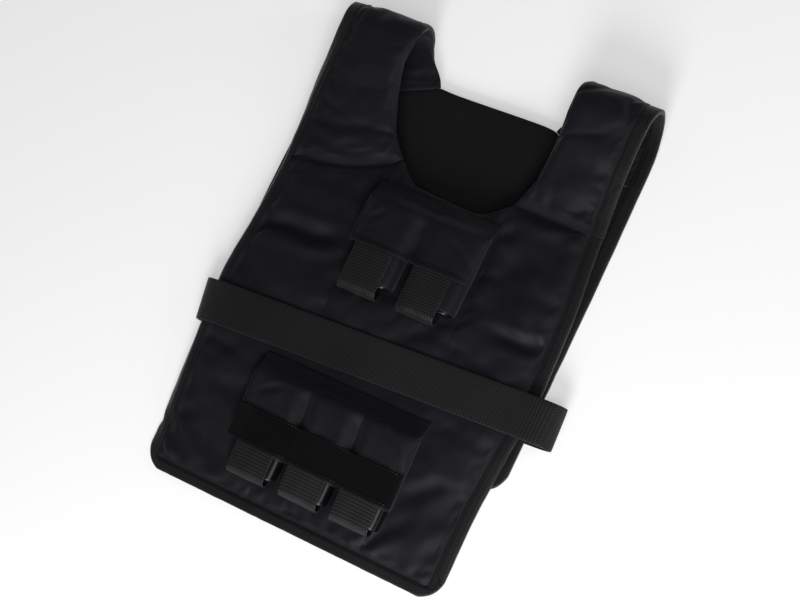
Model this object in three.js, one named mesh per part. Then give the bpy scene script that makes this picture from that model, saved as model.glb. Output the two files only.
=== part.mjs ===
// A weighted training vest, laid on its back with the front up.
// x runs across the vest, y from the front hem to the shoulders, z up. Lengths are in millimetres.
import * as THREE from "three";

// Driving sizes of the padded cloth
const LENGTH = 600; // front hem to shoulder fold
const HALF_WIDTH = 200; // half the waist, without the binding
const PAD = 10.5; // padded cloth between its seams
const SEAM = 3; // the same cloth where it is stitched flat
const SEAM_DEPTH = 1.8; // how far a seam lies in from the torso side
const PUFF_WIDTH = 16; // from a stitch line to the full padding
const TURNED_WIDTH = 10; // the same at a crease or a turned neck edge
const CORNER_RADIUS = 23;
const BACK_HEM = 134; // the back panel ends this far above the front hem
const TORSO_GAP = 8; // between the two panels where the body goes
const SIDE_DROOP = 3; // how far the front's side edges hang
const FOLD_HEIGHT = 59; // top of the folded shoulder straps
const CLEARANCE = 0.3; // between pieces that touch
const SEAM_MARGIN = 3; // sloping front past the belly pocket's seam
// How the padding rises from a seam: reach is a share of its width, puff of the full padding.
const SEAM_RISE = [
  { reach: 0, puff: 0 },
  { reach: 0.3, puff: 0.6 },
  { reach: 1, puff: 1 },
];

// Edge binding
const BINDING_WIDTH = 13;
const BINDING_WALL = 1.2;

// Waist belt
const BELT_WIDTH = 50;
const BELT_WALL = 1.8;
const BELT_Y = 213; // its centre above the front hem
const BELT_TILT = 3.1; // degrees, rising to the right
const BELT_SLANT = 0.13; // how far its left end's fold leans, as a share of its width
const BELT_HOLLOW = 2.4; // how far it presses into the back panel
const HOLLOW_MARGIN = 17; // hollow past the belt's edges

// Weight pockets
const SLEEVE_WIDTH = 64;
const SLEEVE_HEIGHT = 20;
const SLEEVE_WALL = 1.5;
const WEIGHT_CLEARANCE = 0.4;
const FLAP_WALL = 1.6;
const TAB_WIDTH = 49;
const TAB_WALL = 1.6;
const BAND_WALL = 1.2;

const CHEST = {
  name: "chest",
  x: 10,
  seam: 408, // where the flap is sewn on
  length: 116, // sleeve, from the seam to its mouth
  flap: 80,
  overhang: { left: 8, right: 2.5 }, // of the flap past the outer sleeves
  between: 16, // sleeves
  weightPast: 4, // weight beyond the sleeve's mouth
  tabPast: 15, // tab beyond the weight's end
  tabUnderFlap: 12,
  sleeves: [
    { side: "left", tabShift: -4 },
    { side: "right", tabShift: -9 },
  ],
};
const BELLY = {
  name: "belly",
  x: 8,
  seam: 175,
  length: 107,
  flap: 103,
  overhang: { left: 12, right: 3 },
  between: 3,
  weightPast: 27,
  tabPast: 8,
  tabUnderFlap: 12,
  band: 40, // hook-and-loop band at the flap's free edge
  sleeves: [
    { side: "left", tabShift: -4 },
    { side: "middle", tabShift: -2 },
    { side: "right", tabShift: -2 },
  ],
};

// Outline of the front panel: along is a share of LENGTH, left and right are shares of HALF_WIDTH.
const FRONT_OUTLINE = [
  { along: 0, left: 0.975, right: 0.955 },
  { along: 0.1, left: 0.98, right: 0.955 },
  { along: 0.19, left: 0.99, right: 0.965 },
  { along: 0.25, left: 1, right: 0.985 },
  { along: 0.33, left: 1.005, right: 1.005 },
  { along: 0.4, left: 1.03, right: 1.03 },
  { along: 0.48, left: 1.005, right: 1.02 },
  { along: 0.57, left: 0.987, right: 1.012 },
  { along: 0.66, left: 0.984, right: 0.985 },
  { along: 0.74, left: 0.99, right: 0.965 },
];
const BACK_OUTLINE = [
  { along: 0.2, left: 1, right: 1.03 },
  { along: 0.4, left: 1.02, right: 1.03 },
  { along: 0.6, left: 1.025, right: 1.035 },
  { along: 0.9, left: 1.02, right: 1.03 },
];

// Top edges of the panels: the crease under each strap and the neckline between, across as a share
// of HALF_WIDTH and along as a share of LENGTH.
const NECK_LEFT = -0.305;
const NECK_RIGHT = 0.425;
const FRONT_TOP = [
  { across: -1, along: 0.663 },
  { across: -0.69, along: 0.68 },
  { across: -0.555, along: 0.682 },
  { across: -0.44, along: 0.695 },
  { across: -0.375, along: 0.716 },
  { across: -0.305, along: 0.736 },
  { across: -0.245, along: 0.716 },
  { across: -0.175, along: 0.699 },
  { across: -0.04, along: 0.696 },
  { across: 0.16, along: 0.694 },
  { across: 0.28, along: 0.696 },
  { across: 0.355, along: 0.715 },
  { across: 0.425, along: 0.734 },
  { across: 0.6, along: 0.733 },
  { across: 1, along: 0.732 },
];
const BACK_NECK_LEFT = -0.32;
const BACK_NECK_RIGHT = 0.44;
const BACK_TOP = [
  { across: -1.03, along: 0.845 },
  { across: -0.75, along: 0.85 },
  { across: -0.53, along: 0.863 },
  { across: -0.42, along: 0.882 },
  { across: -0.32, along: 0.902 },
  { across: -0.24, along: 0.899 },
  { across: 0.24, along: 0.902 },
  { across: 0.35, along: 0.903 },
  { across: 0.44, along: 0.9 },
  { across: 0.55, along: 0.875 },
  { across: 0.75, along: 0.852 },
  { across: 1.03, along: 0.845 },
];

// Side view of the straps: along is a share of LENGTH, rise goes from the panel (0) to the fold's top (1).
const STRAP_FRONT = [
  { along: 0.62, rise: 0 },
  { along: 0.7, rise: 0 },
  { along: 0.745, rise: 0.04 },
  { along: 0.8, rise: 0.29 },
  { along: 0.867, rise: 0.66 },
  { along: 0.926, rise: 0.94 },
  { along: 0.965, rise: 1 },
];
const STRAP_BACK = [
  { along: 0.992, rise: 0.78 },
  { along: 0.9982, rise: 0.48 },
  { along: 0.984, rise: 0.2 },
  { along: 0.951, rise: 0.05 },
  { along: 0.903, rise: 0.01 },
  { along: 0.84, rise: 0 },
  { along: 0.78, rise: 0 },
];
// Edges of the straps from the front crease (0) to the back one (1), as shares of HALF_WIDTH.
const STRAP_EDGES = {
  left: [
    { along: 0, outer: 0.985, neck: 0.305 },
    { along: 0.05, outer: 0.99, neck: 0.36 },
    { along: 0.11, outer: 0.995, neck: 0.405 },
    { along: 0.26, outer: 0.998, neck: 0.46 },
    { along: 0.43, outer: 0.985, neck: 0.5 },
    { along: 0.55, outer: 0.982, neck: 0.485 },
    { along: 0.7, outer: 0.985, neck: 0.48 },
    { along: 0.8, outer: 1.005, neck: 0.46 },
    { along: 0.88, outer: 1.02, neck: 0.41 },
    { along: 0.96, outer: 1.02, neck: 0.345 },
    { along: 1, outer: 1.02, neck: 0.32 },
  ],
  right: [
    { along: 0, outer: 0.968, neck: 0.425 },
    { along: 0.05, outer: 0.963, neck: 0.45 },
    { along: 0.11, outer: 0.96, neck: 0.475 },
    { along: 0.26, outer: 0.96, neck: 0.495 },
    { along: 0.43, outer: 0.97, neck: 0.505 },
    { along: 0.55, outer: 0.983, neck: 0.515 },
    { along: 0.7, outer: 1, neck: 0.53 },
    { along: 0.8, outer: 1.02, neck: 0.53 },
    { along: 0.88, outer: 1.03, neck: 0.5 },
    { along: 0.96, outer: 1.03, neck: 0.46 },
    { along: 1, outer: 1.03, neck: 0.44 },
  ],
};
const STRAP_STEPS = 20;
const CURVE_DIVISIONS = 600;
const PAST_FOLD = 0.6; // a share of the strap's side view that lies past the fold's tip
const HALVINGS = 40;
const DROOP_END = 0.25; // share of a strap over which its hanging edge comes level

// Folds pressed into the front: from and to are [share of HALF_WIDTH, share of LENGTH], reach and
// depth are shares of PAD.
const FOLDS = [
  { from: [-0.95, 0.52], to: [-0.4, 0.55], reach: 1.5, depth: 0.42 },
  { from: [0.58, 0.65], to: [1, 0.66], reach: 1.3, depth: 0.3 },
  { from: [0.7, 0.48], to: [1, 0.505], reach: 1.4, depth: 0.36 },
  { from: [-1, 0.272], to: [-0.76, 0.255], reach: 1.3, depth: 0.36 },
  { from: [0.66, 0.13], to: [0.98, 0.17], reach: 1.4, depth: 0.3 },
  { from: [-0.92, 0.15], to: [-0.62, 0.12], reach: 1.4, depth: 0.3 },
];

// Rows of the panels between the hem and the top edge, as shares of LENGTH
const FRONT_ROWS = [0.15, 0.2, 0.25, 0.33, 0.4, 0.45, 0.49, 0.52, 0.55, 0.59, 0.63];
const BACK_ROWS = [0.5, 0.6, 0.7, 0.79];
// Columns between the straps, as shares of that width
const MIDDLE_COLUMNS = [0.08, 0.18, 0.36, 0.5, 0.64, 0.8, 0.91];

// Course of the belt seen from the hem: across is a share of HALF_WIDTH, rise goes from the floor (0)
// to the front panel's top (1).
const BELT_COURSE = [
  { across: -0.8, rise: 1 },
  { across: -0.88, rise: 1 },
  { across: -0.94, rise: 0.95 },
  { across: -1, rise: 0.87 },
  { across: -1.055, rise: 0.76 },
  { across: -1.08, rise: 0.55 },
  { across: -1.085, rise: 0.3 },
  { across: -1.075, rise: 0.1 },
  { across: -1.045, rise: 0 },
  { across: 0, rise: 0 },
  { across: 1.07, rise: 0 },
  { across: 1.135, rise: 0.09 },
  { across: 1.178, rise: 0.27 },
  { across: 1.2, rise: 0.52 },
  { across: 1.183, rise: 0.78 },
  { across: 1.12, rise: 0.95 },
  { across: 1.03, rise: 1.02 },
  { across: 0.92, rise: 1.03 },
  { across: 0.8, rise: 1 },
];

// Half a sleeve's section, from its middle to its base
const SLEEVE_SECTION = [
  { across: 0, rise: 1 },
  { across: 0.4, rise: 1 },
  { across: 0.78, rise: 0.95 },
  { across: 0.93, rise: 0.76 },
  { across: 1, rise: 0.4 },
  { across: 1, rise: 0 },
];
// A sleeve from its closed end to its mouth, as shares of its length and height
const SLEEVE_RISE = [
  { along: 0.09, rise: 0.25 },
  { along: 0.14, rise: 0.6 },
  { along: 0.2, rise: 0.92 },
  { along: 0.28, rise: 1 },
  { along: 1, rise: 1 },
];
// A weight's rounded ends: inset in millimetres from the end, and the share of its full section
const WEIGHT_END = [
  { inset: 0, share: 0.78 },
  { inset: 2, share: 0.93 },
  { inset: 6, share: 1 },
];
// A flap across one sleeve, as shares of half the sleeve's width and of its height
const FLAP_SECTION = [
  { across: -1.03, rise: 0.8 },
  { across: -0.78, rise: 0.97 },
  { across: -0.4, rise: 1 },
  { across: 0.4, rise: 1 },
  { across: 0.78, rise: 0.97 },
  { across: 1.03, rise: 0.8 },
];
const FLAP_EDGE_RISE = 0.62;
const FLAP_GAP = TAB_WALL + 3 * CLEARANCE; // between a flap and a sleeve's crown, where the tab runs
const PLAIN_FLAP_ROW = 0.8; // one more row of a flap without a band, as a share of it
const TAB_STEPS = 7;
const KINK_MARGIN = 1; // from a tab's edge to the first bend of the sleeve under it
const TAB_TURN = 0.95; // how far a tab curls, in half turns
const SLEEVE_CROWN = SLEEVE_RISE.find(({ rise }) => rise === 1).along;
const WEIGHT_START = 0.24; // a weight's upper end, as a share of its sleeve

// Heights that follow from the sizes
const FRONT_Z = PAD + TORSO_GAP; // torso side of the front panel
const FRONT_TOP_Z = FRONT_Z + PAD;
const RAMP_START = BINDING_WIDTH + PUFF_WIDTH;
const RAMP_END = BELLY.seam + SEAM_MARGIN;

// Materials
const cloth = new THREE.MeshStandardMaterial({ color: 0x1d1c22, roughness: 0.8, metalness: 0 });
const lining = new THREE.MeshStandardMaterial({ color: 0x17161b, roughness: 0.85, metalness: 0 });
const tape = new THREE.MeshStandardMaterial({ color: 0x232326, roughness: 0.75, metalness: 0 });
const webbing = new THREE.MeshStandardMaterial({ color: 0x2a2a2c, roughness: 0.7, metalness: 0 });
const pile = new THREE.MeshStandardMaterial({ color: 0x101012, roughness: 1, metalness: 0 });
const shell = new THREE.MeshStandardMaterial({ color: 0x09090b, roughness: 0.2, metalness: 0 });

const mix = THREE.MathUtils.lerp;
const share = (value, from, to) => THREE.MathUtils.clamp((value - from) / (to - from), 0, 1);
const point = (x, y, z) => new THREE.Vector3(x, y, z);

// One column of a table, read between its rows.
function read(table, key, column, value) {
  let row = 1;
  while (row < table.length - 1 && table[row][key] < value) row += 1;
  const before = table[row - 1];
  const after = table[row];
  return mix(before[column], after[column], share(value, before[key], after[key]));
}

const SLIVER = 1e-4; // sides shorter than this close up

// A closed mesh from triangles of points, turned to face out.
function closedMesh(name, triangles, material) {
  const kept = triangles.filter(([a, b, c]) => {
    const size = Math.min(a.distanceTo(b), b.distanceTo(c), c.distanceTo(a));
    return size > SLIVER;
  });
  let volume = 0;
  for (const [a, b, c] of kept) volume += a.dot(b.clone().cross(c));
  const corners = kept.flatMap((t) => (volume < 0 ? [t[0], t[2], t[1]] : t));
  const geometry = new THREE.BufferGeometry().setFromPoints(corners);
  geometry.computeVertexNormals();
  const mesh = new THREE.Mesh(geometry, material);
  mesh.name = name;
  return mesh;
}

function quad(a, b, c, d) {
  return [
    [a, b, c],
    [a, c, d],
  ];
}

// A wall between two grids of points of one size. A looped wall joins its last row to its first, and
// a folded one has its second half's faces split the other way, as the two faces of what it wraps.
function wall(name, outer, inner, material, { looped = false, folded = false } = {}) {
  const triangles = [];
  const rows = outer.length;
  const columns = outer[0].length;
  const add = (grid, j, k, i, inward) => {
    const corners = [grid[j][i], grid[j][i + 1], grid[k][i + 1], grid[k][i]];
    if (folded && i >= (columns - 1) / 2) corners.push(corners.shift());
    const [a, b, c, d] = corners;
    triangles.push(...(inward ? quad(a, d, c, b) : quad(a, b, c, d)));
  };
  for (let j = 0; j < (looped ? rows : rows - 1); j += 1) {
    const k = (j + 1) % rows;
    for (let i = 0; i < columns - 1; i += 1) {
      add(outer, j, k, i, false);
      add(inner, j, k, i, true);
    }
    const last = columns - 1;
    triangles.push(...quad(outer[j][0], outer[k][0], inner[k][0], inner[j][0]));
    triangles.push(...quad(outer[j][last], inner[j][last], inner[k][last], outer[k][last]));
  }
  if (!looped) {
    const end = rows - 1;
    for (let i = 0; i < columns - 1; i += 1) {
      triangles.push(...quad(outer[0][i], inner[0][i], inner[0][i + 1], outer[0][i + 1]));
      triangles.push(...quad(outer[end][i], outer[end][i + 1], inner[end][i + 1], inner[end][i]));
    }
  }
  return closedMesh(name, triangles, material);
}

// A body through rings of points, closed over its first and last ring.
function ringBody(name, rings, material) {
  const triangles = [];
  const count = rings[0].length;
  for (let j = 0; j < rings.length - 1; j += 1) {
    for (let i = 0; i < count; i += 1) {
      const next = (i + 1) % count;
      triangles.push(...quad(rings[j][i], rings[j][next], rings[j + 1][next], rings[j + 1][i]));
    }
  }
  const last = rings[rings.length - 1];
  for (let i = 1; i < count - 1; i += 1) {
    triangles.push([rings[0][0], rings[0][i + 1], rings[0][i]]);
    triangles.push([last[0], last[i], last[i + 1]]);
  }
  return closedMesh(name, triangles, material);
}

// Columns across a strap, from its bound outer edge to its neck edge. Puff is the share of full padding.
function stripColumns(width) {
  const bound = SEAM_RISE.map(({ reach, puff }) => ({ inset: BINDING_WIDTH + reach * PUFF_WIDTH, puff }));
  const turned = SEAM_RISE.map(({ reach, puff }) => ({ inset: width - reach * TURNED_WIDTH, puff })).reverse();
  const middle = mix(bound[bound.length - 1].inset, turned[0].inset, 0.5);
  return [{ inset: 0, puff: 0 }, ...bound, { inset: middle, puff: 1 }, ...turned];
}
const BOUND_COLUMNS = 1 + SEAM_RISE.length; // of those, how many belong to the bound edge

// Columns across a whole panel: both straps' columns and those between. Only the outer edges are thin.
function panelColumns(left, right, neckLeft, neckRight) {
  const bound = (column, index) => (index < BOUND_COLUMNS ? column.puff : 1);
  const leftColumns = stripColumns(neckLeft - left).map((column, index) => ({
    x: left + column.inset,
    puff: bound(column, index),
  }));
  const middleColumns = MIDDLE_COLUMNS.map((at) => ({ x: mix(neckLeft, neckRight, at), puff: 1 }));
  const rightColumns = stripColumns(right - neckRight).map((column, index) => ({
    x: right - column.inset,
    puff: bound(column, index),
  }));
  return [...leftColumns, ...middleColumns, ...rightColumns.reverse()];
}

const CORNER_REACH = 3; // radii over which a round corner spreads the rows and columns

// Rounds a plan's two lower corners. The first rows and columns spread to make room for the arc.
function roundCorners(plan, hem) {
  const last = plan[0].length - 1;
  const bevel = CORNER_RADIUS * (1 - Math.SQRT1_2);
  const reach = CORNER_REACH * CORNER_RADIUS;
  const spread = (inset) => {
    if (inset >= reach) return inset;
    return mix(CORNER_RADIUS, reach, share(inset, BINDING_WIDTH, reach));
  };
  for (const [outer, sign] of [
    [0, 1],
    [last, -1],
  ]) {
    const edge = plan[0][outer].x;
    for (const row of plan.slice(1)) row[outer].y = hem + spread(row[outer].y - hem);
    for (let index = outer + sign; sign * (plan[0][index].x - edge) < reach; index += sign) {
      plan[0][index].x = edge + sign * spread(sign * (plan[0][index].x - edge));
    }
    plan[0][outer].x = edge + sign * bevel;
    plan[0][outer].y = hem + bevel;
  }
}

// The plan of a panel as rows of { x, y, level, puff }, with round lower corners. Level is the y that
// sets the height, which a corner's rounding leaves alone.
function panelPlan({ hem, outline, top, neckLeft, neckRight, rows }) {
  const columnsAt = (y) =>
    panelColumns(
      -HALF_WIDTH * read(outline, "along", "left", y / LENGTH),
      HALF_WIDTH * read(outline, "along", "right", y / LENGTH),
      HALF_WIDTH * neckLeft,
      HALF_WIDTH * neckRight,
    );
  const topAt = (x) => LENGTH * read(top, "across", "along", x / HALF_WIDTH);
  const lowerRows = [
    { y: hem, puff: 0 },
    ...SEAM_RISE.map(({ reach, puff }) => ({ y: hem + BINDING_WIDTH + reach * PUFF_WIDTH, puff })),
    ...rows.map((y) => ({ y, puff: 1 })),
  ];
  const plan = lowerRows.map((row) =>
    columnsAt(row.y).map((column) => ({
      x: column.x,
      y: row.y,
      level: row.y,
      puff: Math.min(row.puff, column.puff),
    })),
  );
  for (const { reach, puff } of [...SEAM_RISE].reverse()) {
    const middle = columnsAt(LENGTH * top[0].along);
    plan.push(
      middle.map((guess, index) => {
        const topY = topAt(guess.x);
        const column = columnsAt(topY)[index];
        const y = topY - reach * TURNED_WIDTH;
        return { x: column.x, y, level: y, puff: Math.min(puff, column.puff) };
      }),
    );
  }
  roundCorners(plan, hem);
  return plan;
}

// How deep the folds press into the front at a place.
function foldDepth(x, y) {
  const here = new THREE.Vector2(x, y);
  let depth = 0;
  for (const fold of FOLDS) {
    const from = new THREE.Vector2(fold.from[0] * HALF_WIDTH, fold.from[1] * LENGTH);
    const to = new THREE.Vector2(fold.to[0] * HALF_WIDTH, fold.to[1] * LENGTH);
    const along = to.clone().sub(from);
    const t = THREE.MathUtils.clamp(here.clone().sub(from).dot(along) / along.lengthSq(), 0, 1);
    const distance = here.distanceTo(from.addScaledVector(along, t));
    depth += fold.depth * PAD * Math.exp(-((distance / (fold.reach * PAD)) ** 2));
  }
  return depth;
}

// The torso side of the front: flat on the floor at the hem, then up and over the back panel.
function frontBase(y) {
  return FRONT_Z * share(y, RAMP_START, RAMP_END);
}

function frontSides({ x, y, level, puff }) {
  const base = frontBase(level);
  const low = base - SIDE_DROOP * (base / FRONT_Z) * (1 - puff) + SEAM_DEPTH * (1 - puff);
  const high = low + mix(SEAM, PAD, puff) - puff * foldDepth(x, y);
  return { high: point(x, y, high), low: point(x, y, low) };
}

// The back panel is flat on top and lies on the floor, hollowed where the belt runs under it.
function backSides({ x, y, puff }) {
  const reach = BELT_WIDTH / 2 + HOLLOW_MARGIN;
  const hollow = Math.abs(y - BELT_Y) < reach + CLEARANCE ? BELT_HOLLOW : 0;
  const high = PAD - SEAM_DEPTH * (1 - puff);
  const low = Math.max(high - mix(SEAM, PAD, puff), hollow);
  return { high: point(x, y, high), low: point(x, y, low) };
}

// Tape folded over an edge. Each station gives the edge and the stitch line, on both faces.
function binding(name, stations) {
  const edgeOf = (index) => stations[THREE.MathUtils.clamp(index, 0, stations.length - 1)].edge.high;
  const layer = (off) =>
    stations.map(({ edge, line }, index) => {
      const up = edge.high.clone().sub(edge.low).normalize();
      const into = edge.high.clone().sub(edgeOf(index - 1)).normalize();
      const away = edgeOf(index + 1).clone().sub(edge.high).normalize();
      const tangent = into.clone().add(away).normalize();
      const out = tangent.clone().cross(up).normalize();
      if (out.dot(edge.high.clone().sub(line.high)) < 0) out.negate();
      const reach = off / Math.max(tangent.dot(into), tangent.dot(away));
      return [
        line.high.clone().addScaledVector(up, off),
        edge.high.clone().addScaledVector(up, off).addScaledVector(out, reach),
        edge.low.clone().addScaledVector(up, -off).addScaledVector(out, reach),
        line.low.clone().addScaledVector(up, -off),
      ];
    });
  return wall(name, layer(CLEARANCE + BINDING_WALL), layer(CLEARANCE), tape, { folded: true });
}

// Stations of the binding round a panel's sides and hem.
function panelBinding(name, sides) {
  const last = sides[0].length - 1;
  const top = sides.length - 1;
  const stations = [];
  for (let j = top; j > 1; j -= 1) stations.push({ edge: sides[j][0], line: sides[j][1] });
  stations.push({ edge: sides[1][0], line: sides[1][1] });
  stations.push({ edge: sides[0][0], line: sides[1][1] });
  for (let i = 1; i < last; i += 1) stations.push({ edge: sides[0][i], line: sides[1][i] });
  stations.push({ edge: sides[0][last], line: sides[1][last - 1] });
  stations.push({ edge: sides[1][last], line: sides[1][last - 1] });
  for (let j = 2; j <= top; j += 1) stations.push({ edge: sides[j][last], line: sides[j][last - 1] });
  return binding(name, stations);
}

function makePanel(name, plan, sidesOf, material) {
  const sides = plan.map((row) => row.map(sidesOf));
  const high = sides.map((row) => row.map((side) => side.high));
  const low = sides.map((row) => row.map((side) => side.low));
  return { sides, mesh: wall(name, high, low, material) };
}

const frontPlan = panelPlan({
  hem: 0,
  outline: FRONT_OUTLINE,
  top: FRONT_TOP,
  neckLeft: NECK_LEFT,
  neckRight: NECK_RIGHT,
  rows: FRONT_ROWS.map((at) => at * LENGTH)
    .concat([RAMP_END])
    .sort((a, b) => a - b),
});
const backPlan = panelPlan({
  hem: BACK_HEM,
  outline: BACK_OUTLINE,
  top: BACK_TOP,
  neckLeft: BACK_NECK_LEFT,
  neckRight: BACK_NECK_RIGHT,
  rows: [
    BELT_Y - BELT_WIDTH / 2 - HOLLOW_MARGIN,
    BELT_Y + BELT_WIDTH / 2 + HOLLOW_MARGIN,
    BELT_Y + BELT_WIDTH / 2 + HOLLOW_MARGIN + PAD / 2,
    ...BACK_ROWS.map((at) => at * LENGTH),
  ],
});
const front = makePanel("front_panel", frontPlan, frontSides, cloth);
const back = makePanel("back_panel", backPlan, backSides, lining);

// The side view of a strap as one curve of { y, z }.
function strapCurve() {
  const fold = FOLD_HEIGHT - PAD / 2;
  const places = [
    ...STRAP_FRONT.map((row) => new THREE.Vector2(row.along * LENGTH, mix(FRONT_Z + PAD / 2, fold, row.rise))),
    ...STRAP_BACK.map((row) => new THREE.Vector2(row.along * LENGTH, mix(PAD / 2, fold, row.rise))),
  ];
  const curve = new THREE.SplineCurve(places);
  curve.arcLengthDivisions = CURVE_DIVISIONS;
  return curve;
}

// Where along the curve the strap passes a given y, on its front half or its back half.
function curveShare(curve, y, isFront) {
  let low = isFront ? 0 : 1;
  let high = PAST_FOLD;
  for (let step = 0; step < HALVINGS; step += 1) {
    const middle = (low + high) / 2;
    if (curve.getPointAt(middle).x < y) low = middle;
    else high = middle;
  }
  return (low + high) / 2;
}

// Rows along a strap: thin at both creases, then evenly spaced at full padding.
function strapRows(length) {
  const turned = TURNED_WIDTH / length;
  const ends = SEAM_RISE.map(({ reach, puff }) => ({ at: reach * turned, puff }));
  const rows = [...ends];
  for (let step = 1; step < STRAP_STEPS; step += 1) {
    rows.push({ at: mix(turned, 1 - turned, step / STRAP_STEPS), puff: 1 });
  }
  return [...rows, ...ends.map(({ at, puff }) => ({ at: 1 - at, puff })).reverse()];
}

// A shoulder strap from the front crease over the fold to the back crease, and its binding.
function makeStrap(side, sign) {
  const curve = strapCurve();
  const total = curve.getLength();
  const pick = (row, index) => row[sign < 0 ? index : row.length - 1 - index].high;
  const frontTop = front.sides[front.sides.length - 1];
  const backTop = back.sides[back.sides.length - 1];
  const courses = stripColumns(1).map((column, index) => {
    const start = pick(frontTop, index);
    const end = pick(backTop, index);
    const from = curveShare(curve, start.y + CLEARANCE, true);
    const to = curveShare(curve, end.y + CLEARANCE, false);
    return { from, to, startX: start.x, endX: end.x };
  });
  const middleCourse = courses[Math.floor(courses.length / 2)];
  const rows = strapRows(total * (middleCourse.to - middleCourse.from));
  const sides = rows.map((row) => {
    const outer = HALF_WIDTH * read(STRAP_EDGES[side], "along", "outer", row.at);
    const neck = HALF_WIDTH * read(STRAP_EDGES[side], "along", "neck", row.at);
    return stripColumns(outer - neck).map((column, index) => {
      const course = courses[index];
      const at = mix(course.from, course.to, row.at);
      const place = curve.getPointAt(at);
      const tangent = curve.getTangentAt(at);
      const normal = point(0, -tangent.y, tangent.x);
      const puff = Math.min(row.puff, column.puff);
      let x = sign * (outer - column.inset);
      if (row.at === 0) x = course.startX;
      if (row.at === 1) x = course.endX;
      const hang = index < BOUND_COLUMNS ? SIDE_DROOP * (1 - column.puff) * (1 - share(row.at, 0, DROOP_END)) : 0;
      const middle = point(x, place.x, place.y - hang);
      const low = SEAM_DEPTH * (1 - puff) - PAD / 2;
      return {
        high: middle.clone().addScaledVector(normal, low + mix(SEAM, PAD, puff)),
        low: middle.clone().addScaledVector(normal, low),
      };
    });
  });
  const high = sides.map((row) => row.map((place) => place.high));
  const low = sides.map((row) => row.map((place) => place.low));
  return [
    wall("shoulder_strap_" + side, high, low, cloth),
    binding(
      "strap_binding_" + side,
      sides.map((row) => ({ edge: row[0], line: row[1] })),
    ),
  ];
}

// Half widths and heights of a rounded section, from its left base over the top to its right base.
function sleeveSection(halfWidth, low, high, y) {
  const right = SLEEVE_SECTION.map(({ across, rise }) => point(across * halfWidth, y, mix(low, high, rise)));
  const left = right.slice(1).map(({ x, z }) => point(-x, y, z));
  return [...left.reverse(), ...right];
}

// A cloth sleeve that holds one weight, closed under the flap and open towards the hem.
function makeSleeve(name, length) {
  const half = SLEEVE_WIDTH / 2;
  const outer = SLEEVE_RISE.map(({ along, rise }) =>
    sleeveSection(half, 0, rise * SLEEVE_HEIGHT, -along * length),
  );
  const hollow = [...SLEEVE_RISE.slice(2)].reverse();
  const inner = hollow.map(({ along, rise }, index) => {
    const back = index === hollow.length - 1 ? SLEEVE_WALL : 0;
    const high = rise * SLEEVE_HEIGHT - SLEEVE_WALL;
    return sleeveSection(half - SLEEVE_WALL, SLEEVE_WALL, high, -along * length - back);
  });
  return ringBody(name, [...outer, ...inner], cloth);
}

// A smooth weight with rounded ends, loose in its sleeve.
function makeWeight(name, length, past) {
  const slack = SLEEVE_WALL + WEIGHT_CLEARANCE;
  const half = SLEEVE_WIDTH / 2 - slack;
  const middle = SLEEVE_HEIGHT / 2;
  const reach = SLEEVE_HEIGHT / 2 - slack;
  const ring = (y, size) => sleeveSection(half * size, middle - reach * size, middle + reach * size, y);
  const start = -WEIGHT_START * length;
  const end = -length - past;
  return ringBody(
    name,
    [
      ...WEIGHT_END.map(({ inset, share: size }) => ring(start - inset, size)),
      ...[...WEIGHT_END].reverse().map(({ inset, share: size }) => ring(end + inset, size)),
    ],
    shell,
  );
}

// How high the flap lies across a pocket, as { x, rise } rows from its left edge to its right edge.
function flapAcross(pocket, centres) {
  const half = SLEEVE_WIDTH / 2;
  const last = centres[centres.length - 1];
  return [
    { x: centres[0] - half - pocket.overhang.left, rise: FLAP_EDGE_RISE },
    ...centres.flatMap((centre) =>
      FLAP_SECTION.map(({ across, rise }) => ({ x: centre + across * half, rise })),
    ),
    { x: last + half + pocket.overhang.right, rise: FLAP_EDGE_RISE },
  ];
}

// The flap's underside at a place of the pocket.
function flapHeight(across, x, y, length) {
  const along = -y / length;
  const rise = along < SLEEVE_RISE[0].along
    ? mix(0, SLEEVE_RISE[0].rise, along / SLEEVE_RISE[0].along)
    : read(SLEEVE_RISE, "along", "rise", along);
  const gap = mix(0, FLAP_GAP, share(along, 0, SLEEVE_CROWN));
  return SLEEVE_HEIGHT * rise * read(across, "x", "rise", x) + gap;
}

function makeFlap(pocket, across) {
  const drop = pocket.band ? [pocket.flap - pocket.band, pocket.flap - pocket.band / 2] : [PLAIN_FLAP_ROW * pocket.flap];
  const places = [0, ...SLEEVE_RISE.slice(0, -1).map(({ along }) => along * pocket.length), ...drop, pocket.flap];
  const low = places.map((place) =>
    across.map(({ x }) => point(x, -place, flapHeight(across, x, -place, pocket.length))),
  );
  const high = low.map((row) => row.map(({ x, y, z }) => point(x, y, z + FLAP_WALL)));
  return wall(pocket.name + "_flap", high, low, cloth);
}

// The hook-and-loop band sewn over the flap's free edge.
function makeBand(pocket, across) {
  const places = [pocket.flap - pocket.band, pocket.flap - pocket.band / 2, pocket.flap];
  const low = places.map((place) =>
    across.map(({ x }) => {
      const flap = flapHeight(across, x, -place, pocket.length);
      return point(x, -place, flap + FLAP_WALL + CLEARANCE);
    }),
  );
  const high = low.map((row) => row.map(({ x, y, z }) => point(x, y, z + BAND_WALL)));
  return wall(pocket.name + "_closure_band", high, low, pile);
}

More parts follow.
